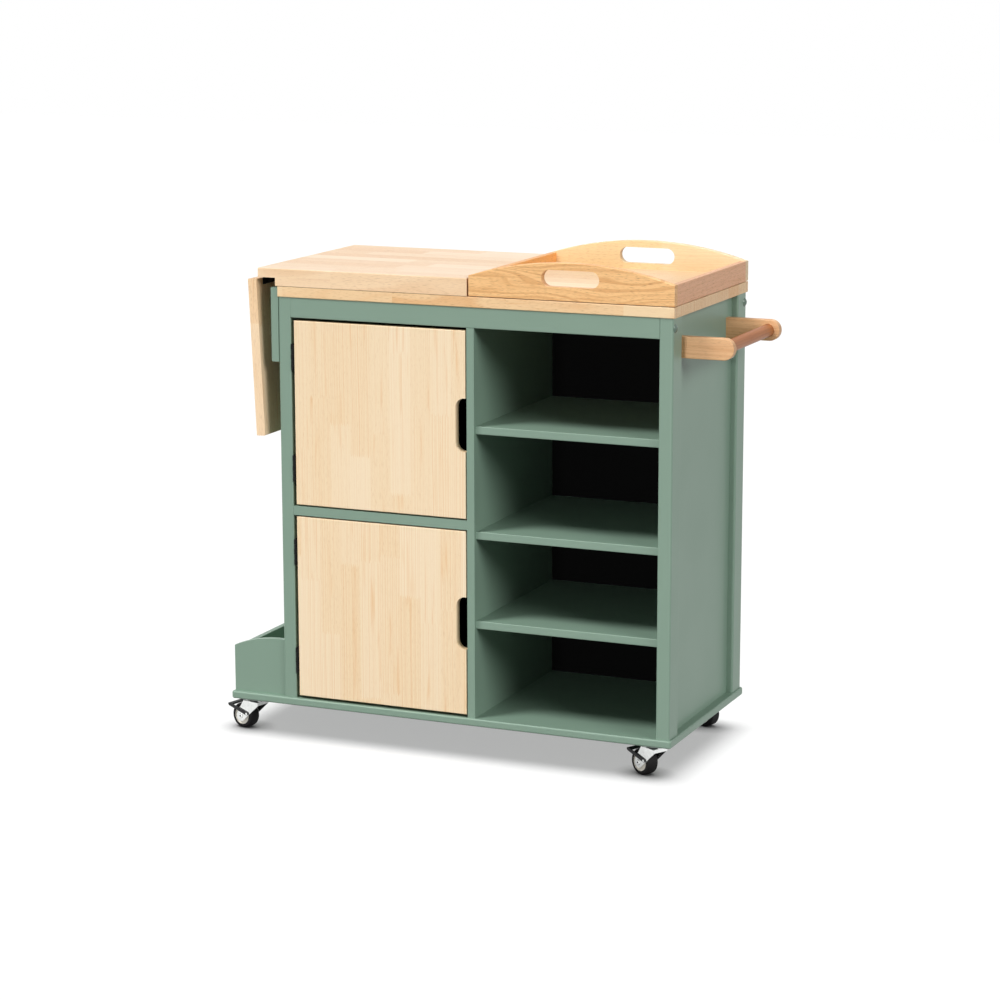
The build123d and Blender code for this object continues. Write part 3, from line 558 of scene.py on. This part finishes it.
leaf_wood = make_wood(
    "lacquered_rubberwood_leaf", "Z", "Y", LEAF_COLOURS, BLOCK_STAVE_MM, BLOCK_STAVE_LENGTH_MM
)
dress(["drop_leaf"], leaf_wood)


# Doors. Pale rubberwood with upright staves, lacquered without stain. The rings run straight and
# fine, with a few soft orange streaks. Each door is cut from another part of a glued-up sheet.
DOOR_COLOURS = ("FBE6C6", "F4D6AA", "EBBB80", "D3A56C")
DOOR_STAVE_MM = 42
DOOR_STAVE_LENGTH_MM = 270
DOOR_CUT_FROM_CORNER = {"lower_door": 1.0, "upper_door": 1.9}

for door_name, cut in DOOR_CUT_FROM_CORNER.items():
    door_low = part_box(door_name)[0]
    door_wood = make_wood(
        "lacquered_rubberwood_" + door_name, "Z", "X", DOOR_COLOURS, DOOR_STAVE_MM,
        DOOR_STAVE_LENGTH_MM, start=(door_low.z - cut, door_low.x - cut), tint=0.6, ring_mm=2.6,
        wander_mm=5, streaks=0.6, pores=0.2,
    )
    dress([door_name], door_wood)


# Tray. Warmer wood. The arched front board is cut flat from one wide board, so its rings make
# arches, and the rear board is glued up from paler pieces. Two low sides and a floor join them.
TRAY_FRONT_COLOURS = ("FFDAA4", "F8C484", "CC8440", "A06632")
TRAY_REAR_COLOURS = ("F6E3BF", "F0D5A4", "E4B876", "A06632")
TRAY_SIDE_COLOURS = {
    "tray_side_left": ("F2C083", "E6A45C", "C97F3C", "A06632"),
    "tray_side_right": ("F2C79E", "E1A980", "CD8F5E", "A06632"),
}
TRAY_FLOOR_COLOURS = ("FBE3C0", "EFC99C", "E0AC74", "A06632")
TRAY_BOARD_MM = 120
TRAY_BOARD_LENGTH_MM = 5000
TRAY_REAR_PIECE_MM = 250

# The staves are counted from here, along and across them, off the boards' ends and lower edges
TRAY_STAVES_FROM = (-0.6, 0.85)

tray_front_wood = make_wood(
    "lacquered_rubberwood_tray_front", "X", "Z", TRAY_FRONT_COLOURS, TRAY_BOARD_MM,
    TRAY_BOARD_LENGTH_MM, start=TRAY_STAVES_FROM, ring_mm=6, rings=0.7, wander_mm=90,
)
dress(["tray_front_board"], tray_front_wood)

tray_rear_wood = make_wood(
    "lacquered_rubberwood_tray_rear", "X", "Z", TRAY_REAR_COLOURS, TRAY_BOARD_MM, TRAY_REAR_PIECE_MM,
    start=TRAY_STAVES_FROM, rings=0.25, wander_mm=30, streaks=0.3, pores=0.2,
)
dress(["tray_rear_board"], tray_rear_wood)

for side_name, side_colours in TRAY_SIDE_COLOURS.items():
    tray_side_wood = make_wood(
        "lacquered_rubberwood_" + side_name, "Y", "Z", side_colours, TRAY_BOARD_MM,
        TRAY_BOARD_LENGTH_MM, start=TRAY_STAVES_FROM, rings=0.4,
    )
    dress([side_name], tray_side_wood)

tray_floor_wood = make_wood(
    "lacquered_rubberwood_tray_floor", "X", "Y", TRAY_FLOOR_COLOURS, SLAB_STAVE_MM,
    TRAY_BOARD_LENGTH_MM,
)
dress(["tray_floor"], tray_floor_wood)


# Towel handle. A turned rod let into two round-ended arms, in a redder wood than the top. The rod
# is darker from handling.
ARM_COLOURS = ("F3C99D", "E8B582", "C98955", "7E4E2C")
ROD_COLOURS = ("C07C43", "AE6932", "83461F", "7E4E2C")
HANDLE_STAVES_FROM = (-0.6, 0.7)

arm_wood = make_wood(
    "lacquered_wood_handle_arms", "X", "Z", ARM_COLOURS, TRAY_BOARD_MM, TRAY_BOARD_LENGTH_MM,
    start=HANDLE_STAVES_FROM, rings=0.45, wander_mm=25, pores=0.15,
)
rod_wood = make_wood(
    "lacquered_wood_handle_rod", "Y", "Z", ROD_COLOURS, TRAY_BOARD_MM, TRAY_BOARD_LENGTH_MM,
    start=HANDLE_STAVES_FROM, rings=0.5, pores=0.15,
)
dress(["handle_arm_front", "handle_arm_rear"], arm_wood)
dress(["handle_rod"], rod_wood)


# Hinges, stay brackets and channels, and strikers. Pressed and folded steel with a black baked
# coat, dull enough that they look black in a white room.
FINE_RELIEF_DEPTH = 0.0001


def make_fine_grained(name, colours, roughness, specular, grain_mm, detail=3.0, relief=0.08):
    """A plain finish between two close colours, with fine grit or the grain of a mould in it."""
    material, tree, coords, shader = new_material(name)
    grain = add(
        tree, "ShaderNodeTexNoise", None,
        {"Vector": coords.outputs["Object"], "Scale": 1000 / grain_mm, "Detail": detail},
    )
    colour = add(
        tree, "ShaderNodeMix", {"data_type": "RGBA"},
        {0: grain, 6: linear(colours[0]), 7: linear(colours[1])},
    )
    bump = add(
        tree, "ShaderNodeBump", None,
        {"Height": grain, "Strength": relief, "Distance": FINE_RELIEF_DEPTH},
    )
    tree.links.new(colour.outputs[2], shader.inputs["Base Color"])
    tree.links.new(bump.outputs[0], shader.inputs["Normal"])
    shader.inputs["Roughness"].default_value = roughness
    shader.inputs["Specular IOR Level"].default_value = specular
    return material


COAT_BLACKS = ("080808", "121212")
COAT_GRIT_MM = 0.8

black_coat = make_fine_grained(
    "black_baked_enamel_steel", COAT_BLACKS, roughness=0.5, specular=0.12, grain_mm=COAT_GRIT_MM,
    detail=2.0, relief=0.1,
)
dress(
    [
        "lower_door_hinge_plates", "upper_door_hinge_plates", "door_hinge_post_plates",
        "leaf_hinge_lip_plates", "leaf_hinge_leaf_plates", "stay_brackets", "stay_channels",
        "lower_door_striker", "upper_door_striker",
    ],
    black_coat,
)


# Screws of the hinges and stay brackets. Low round heads with a cross recess, black like the plates
# they hold, and standing on them.
SCREW_HEAD_R_MM = 2.4
SCREW_HEAD_HEIGHT_MM = 0.55
SCREW_CROWN_SHARE = 0.7
RECESS_R_MM = 1.1
RECESS_DEPTH_MM = 0.4
HEAD_SIDES = 12


def add_screw_head(mesh, centre, outward):
    """A head with a cross recess, standing on a face at a point and looking outward."""
    known = set(mesh.verts)

    # Nine squares without their corners are the floor of the recess
    cross = bmesh.ops.create_grid(mesh, x_segments=3, y_segments=3, size=RECESS_R_MM / 1000)["verts"]
    corners = [v for v in cross if len(v.link_edges) == 2]
    bmesh.ops.delete(mesh, geom=corners, context="VERTS")
    cross = [v for v in cross if v.is_valid]
    bmesh.ops.translate(mesh, verts=cross, vec=(0, 0, (SCREW_HEAD_HEIGHT_MM - RECESS_DEPTH_MM) / 1000))
    recess_rim = list(dict.fromkeys(e for v in cross for e in v.link_edges if e.is_boundary))
    walls = bmesh.ops.extrude_edge_only(mesh, edges=recess_rim)["geom"]
    wall_tops = [g for g in walls if isinstance(g, bmesh.types.BMVert)]
    bmesh.ops.translate(mesh, verts=wall_tops, vec=(0, 0, RECESS_DEPTH_MM / 1000))
    brim = [g for g in walls if isinstance(g, bmesh.types.BMEdge) and g.is_boundary]
    crown_r = SCREW_HEAD_R_MM * SCREW_CROWN_SHARE / 1000
    crown = bmesh.ops.create_circle(mesh, segments=HEAD_SIDES, radius=crown_r)["verts"]
    bmesh.ops.translate(mesh, verts=crown, vec=(0, 0, SCREW_HEAD_HEIGHT_MM / 1000))
    crown_edges = list(dict.fromkeys(e for v in crown for e in v.link_edges))
    bmesh.ops.bridge_loops(mesh, edges=brim + crown_edges)
    skirt = bmesh.ops.extrude_edge_only(mesh, edges=crown_edges)["geom"]
    skirt_verts = [g for g in skirt if isinstance(g, bmesh.types.BMVert)]
    spread = 1 / SCREW_CROWN_SHARE
    bmesh.ops.scale(mesh, verts=skirt_verts, vec=(spread, spread, 0))
    head = [v for v in mesh.verts if v not in known]
    head_faces = list(dict.fromkeys(f for v in head for f in v.link_faces))
    bmesh.ops.recalc_face_normals(mesh, faces=head_faces)
    turn = Vector(outward).to_track_quat("Z", "Y").to_matrix().to_4x4()
    bmesh.ops.transform(mesh, matrix=Matrix.Translation(centre) @ turn, verts=head)


def make_piece(name, mesh, material, body):
    """Keep a mesh as a piece that moves with a body."""
    data = bpy.data.meshes.new(name)
    mesh.to_mesh(data)
    mesh.free()
    data.materials.append(material)
    piece = bpy.data.objects.new(name, data)
    scene.collection.objects.link(piece)
    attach(piece, body)


SAME_POINT = 1e-6


def solids_of(node_name):
    """The lowest and highest corner of each solid in a node, in the order of their height and depth."""
    loose = bmesh.new()
    loose.from_mesh(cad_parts[node_name].data)
    bmesh.ops.remove_doubles(loose, verts=loose.verts, dist=SAME_POINT)
    left, boxes = set(loose.verts), []
    while left:
        island, waiting = set(), [left.pop()]
        while waiting:
            vert = waiting.pop()
            island.add(vert)
            for other in (e.other_vert(vert) for e in vert.link_edges):
                if other in left:
                    left.discard(other)
                    waiting.append(other)
        points = [v.co for v in island]
        low = Vector([min(p[i] for p in points) for i in range(3)])
        high = Vector([max(p[i] for p in points) for i in range(3)])
        boxes.append((low, high))
    loose.free()
    return sorted(boxes, key=lambda box: (round(box[0].z, 3), round(box[0].y, 3)))


def place_heads(name, places, outward, body):
    """Screw heads at several points, all looking the same way, as one piece."""
    mesh = bmesh.new()
    for place in places:
        add_screw_head(mesh, Vector(place), outward)
    make_piece(name, mesh, black_coat, body)


# Each plate has two screws, given as shares of its length
PLATE_T = 0.0012
POST_SCREW_SHARES = (0.18, 0.82)
POST_SCREW_FROM_EDGE = 0.0075
DOOR_SCREW_SHARES = (0.2, 0.8)
DOOR_SCREW_FROM_EDGE = 0.005

place_heads(
    "post_hinge_screws",
    [
        (low.x + PLATE_T, high.y - POST_SCREW_FROM_EDGE, low.z + (high.z - low.z) * share)
        for low, high in solids_of("door_hinge_post_plates")
        for share in POST_SCREW_SHARES
    ],
    (1, 0, 0), "cart",
)
for door_name in ("lower_door", "upper_door"):
    place_heads(
        door_name + "_hinge_screws",
        [
            (high.x - PLATE_T, high.y - DOOR_SCREW_FROM_EDGE, low.z + (high.z - low.z) * share)
            for low, high in solids_of(door_name + "_hinge_plates")
            for share in DOOR_SCREW_SHARES
        ],
        (-1, 0, 0), door_name,
    )

LIP_SCREW_SHARES = (0.2, 0.8)
LIP_SCREW_FROM_EDGE = 0.0055
LEAF_SCREW_SHARES = (0.3, 0.7)
LEAF_SCREW_BELOW_PIN = 0.0095
LEAF_PLATE_OFF_PIN = 0.0018
KNUCKLE_R = 0.0024
LEAF_LEAN = radians(2.5)

lip_plates = solids_of("leaf_hinge_lip_plates")
place_heads(
    "lip_hinge_screws",
    [
        (high.x - LIP_SCREW_FROM_EDGE, low.y + (high.y - low.y) * share, high.z - PLATE_T)
        for low, high in lip_plates
        for share in LIP_SCREW_SHARES
    ],
    (0, 0, -1), "cart",
)
leaf_out = Vector((cos(LEAF_LEAN), 0, sin(LEAF_LEAN)))
leaf_down = Vector((sin(LEAF_LEAN), 0, -cos(LEAF_LEAN)))
place_heads(
    "leaf_hinge_screws",
    [
        Vector((low.x + KNUCKLE_R, low.y + (high.y - low.y) * share, low.z + KNUCKLE_R))
        + leaf_down * LEAF_SCREW_BELOW_PIN - leaf_out * LEAF_PLATE_OFF_PIN
        for low, high in lip_plates
        for share in LEAF_SCREW_SHARES
    ],
    leaf_out, "leaf",
)

BRACKET_PLATE_T = 0.002
BRACKET_SCREW_OUT = 0.0132
BRACKET_SCREW_UP = 0.0165

place_heads(
    "stay_bracket_screws",
    [
        (high.x - BRACKET_PLATE_T, (low.y + high.y) / 2 + out, (low.z + high.z) / 2 + up)
        for low, high in solids_of("stay_brackets")
        for out in (-BRACKET_SCREW_OUT, BRACKET_SCREW_OUT)
        for up in (-BRACKET_SCREW_UP, BRACKET_SCREW_UP)
    ],
    (-1, 0, 0), "cart",
)


# Caster forks and screws, stay struts and rail bolts. Pressed or turned steel, bright nickel
# plated, so they mirror the white floor. The casters' top plates are zinc plated, duller, and
# coloured darker as painted shade from the base board above them.
PLATING_CLOUD_MM = 6


def make_plating(name, colours, smooth, rough):
    """Plated steel, slightly clouded, with its gloss between two roughnesses."""
    material, tree, coords, shader = new_material(name)
    cloud = add(
        tree, "ShaderNodeTexNoise", None,
        {"Vector": coords.outputs["Object"], "Scale": 1000 / PLATING_CLOUD_MM, "Detail": 4.0},
    )
    colour = add(
        tree, "ShaderNodeMix", {"data_type": "RGBA"},
        {0: cloud, 6: linear(colours[0]), 7: linear(colours[1])},
    )
    gloss = add(
        tree, "ShaderNodeMapRange", None, {"Value": cloud, "To Min": smooth, "To Max": rough}
    )
    tree.links.new(colour.outputs[2], shader.inputs["Base Color"])
    tree.links.new(gloss.outputs[0], shader.inputs["Roughness"])
    shader.inputs["Metallic"].default_value = 1.0
    return material


NICKEL_COLOURS = ("F4F5F4", "D2D5D4")
# The zinc greys are darkened as painted shade from the base board above the plates
SHADED_ZINC_COLOURS = ("6F7472", "565B59")

bright_nickel = make_plating("bright_nickel_plated_steel", NICKEL_COLOURS, smooth=0.08, rough=0.22)
shaded_zinc = make_plating("zinc_plated_steel_with_painted_shade", SHADED_ZINC_COLOURS, smooth=0.35, rough=0.5)
dress(
    ["stay_strut_front", "stay_strut_rear", "rail_bolts", "caster_screws"]
    + ["caster_fork_" + corner for corner in CORNERS],
    bright_nickel,
)
dress(["caster_plates"], shaded_zinc)


# Bores of the axle rivets. A rivet that serves as an axle is hollow, and its bore shows as a dark
# dimple in each end, coloured near black as painted shade for the hollow. A caster's axle lies
# across the way it faces.
# The bore blacks are painted shade, not a colour of the steel
BORE_SHADE_BLACKS = ("0A0A0A", "141414")
BORE_GRAIN_MM = 0.8
BORE_R = 0.0017
BORE_SIDES = 24
BORE_OFF_MIDDLE = 0.01672
BORE_STEP = 0.0002
CASTER_HEADINGS = {"front_left": 166, "front_right": 151, "rear_left": 165, "rear_right": 160}

painted_bore_shade = make_fine_grained(
    "painted_shade_of_rivet_bore", BORE_SHADE_BLACKS, roughness=0.7, specular=0.1, grain_mm=BORE_GRAIN_MM
)
for corner, heading in CASTER_HEADINGS.items():
    wheel_low, wheel_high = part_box("caster_wheel_" + corner)
    wheel_middle = (wheel_low + wheel_high) / 2
    along_axle = Vector((-sin(radians(heading)), cos(radians(heading)), 0))
    mesh = bmesh.new()
    for end in (-1, 1):
        known = set(mesh.verts)
        disc = bmesh.ops.create_circle(mesh, cap_ends=True, segments=BORE_SIDES, radius=BORE_R)["verts"]
        faces = list({f for v in disc for f in v.link_faces})
        bmesh.ops.inset_region(mesh, faces=faces, thickness=BORE_R / 3, depth=-BORE_STEP / 2)
        bore = [v for v in mesh.verts if v not in known]
        turn = (along_axle * end).to_track_quat("Z", "Y").to_matrix().to_4x4()
        place = Matrix.Translation(wheel_middle + along_axle * end * (BORE_OFF_MIDDLE + BORE_STEP))
        bmesh.ops.transform(mesh, matrix=place @ turn, verts=bore)
    make_piece("rivet_bore_" + corner, mesh, painted_bore_shade, "caster_" + corner)


# Wheels. Each is a white polypropylene hub with a black rubber tyre moulded round it, so the
# distance from the axle tells which of the two a point is.
TYRE_BLACKS = ("0A090A", "131113")
HUB_WHITES = ("F3F0E8", "E6E2D8")
TYRE_INNER_R = 0.0172
TYRE_SEAM = 0.0002
TYRE_GRAIN_MM = 1.2
TYRE_RELIEF = 0.08
TYRE_ROUGHNESS = 0.5
TYRE_SPECULAR = 0.15

for corner, heading in CASTER_HEADINGS.items():
    material, tree, coords, shader = new_material("rubber_tyre_on_polypropylene_hub_" + corner)
    wheel_low, wheel_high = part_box("caster_wheel_" + corner)
    from_middle = add(
        tree, "ShaderNodeVectorMath", {"operation": "SUBTRACT"},
        {0: coords.outputs["Object"], 1: (wheel_low + wheel_high) / 2},
    )
    off_axle = add(
        tree, "ShaderNodeVectorMath", {"operation": "CROSS_PRODUCT"},
        {0: from_middle, 1: (-sin(radians(heading)), cos(radians(heading)), 0)},
    )
    radius = add(tree, "ShaderNodeVectorMath", {"operation": "LENGTH"}, {0: off_axle})
    is_tyre = add(
        tree, "ShaderNodeMapRange", None,
        {
            "Value": radius.outputs["Value"], "From Min": TYRE_INNER_R - TYRE_SEAM,
            "From Max": TYRE_INNER_R + TYRE_SEAM,
        },
    )
    grain = add(
        tree, "ShaderNodeTexNoise", None,
        {"Vector": coords.outputs["Object"], "Scale": 1000 / TYRE_GRAIN_MM, "Detail": 3.0},
    )
    tyre = add(
        tree, "ShaderNodeMix", {"data_type": "RGBA"},
        {0: grain, 6: linear(TYRE_BLACKS[0]), 7: linear(TYRE_BLACKS[1])},
    )
    hub = add(
        tree, "ShaderNodeMix", {"data_type": "RGBA"},
        {0: grain, 6: linear(HUB_WHITES[0]), 7: linear(HUB_WHITES[1])},
    )
    colour = add(
        tree, "ShaderNodeMix", {"data_type": "RGBA"},
        {0: is_tyre, 6: hub.outputs[2], 7: tyre.outputs[2]},
    )
    bump = add(
        tree, "ShaderNodeBump", None,
        {"Height": grain, "Strength": TYRE_RELIEF, "Distance": FINE_RELIEF_DEPTH},
    )
    tree.links.new(colour.outputs[2], shader.inputs["Base Color"])
    tree.links.new(bump.outputs[0], shader.inputs["Normal"])
    shader.inputs["Roughness"].default_value = TYRE_ROUGHNESS
    shader.inputs["Specular IOR Level"].default_value = TYRE_SPECULAR
    dress(["caster_wheel_" + corner], material)


# Brake pedals. Moulded black polyamide, satin from the mould, one on each front caster.
# They turn on the casters' forks.
PEDAL_BLACKS = ("121315", "1D1F22")
PEDAL_GRAIN_MM = 1.0

brake_plastic = make_fine_grained(
    "moulded_black_polyamide_pedal", PEDAL_BLACKS, roughness=0.38, specular=0.35,
    grain_mm=PEDAL_GRAIN_MM,
)
dress(["brake_pedal_front_left", "brake_pedal_front_right"], brake_plastic)


# Door catches. The housings of two magnetic catches, moulded in white ABS and screwed inside the
# cupboards, where the strikers on the doors meet them.
CATCH_WHITES = ("ECECE8", "E0E0DB")
CATCH_GRAIN_MM = 1.0

catch_plastic = make_fine_grained(
    "moulded_white_abs_catch", CATCH_WHITES, roughness=0.4, specular=0.5, grain_mm=CATCH_GRAIN_MM
)
dress(["door_catches"], catch_plastic)


# Bolt caps. Domed ABS caps, moulded glossy in a green near that of the lacquer. They cover the
# heads of the two bolts on the right side.
CAP_GREENS = ("64796C", "5A6F62")
CAP_GRAIN_MM = 1.5

cap_plastic = make_fine_grained(
    "moulded_green_abs_cap", CAP_GREENS, roughness=0.22, specular=0.5, grain_mm=CAP_GRAIN_MM
)
dress(["bolt_caps"], cap_plastic)


# Tray feet. Four discs of pressed wool felt, stuck under the tray so that it slides on the slab
# without scratching it.
FELT_COLOURS = ("8F8577", "6F675C")
FELT_FIBRE_MM = 0.6

felt = make_fine_grained(
    "pressed_wool_felt_foot", FELT_COLOURS, roughness=0.95, specular=0.1, grain_mm=FELT_FIBRE_MM
)
dress(["tray_feet"], felt)


scene.view_settings.view_transform = "Standard"
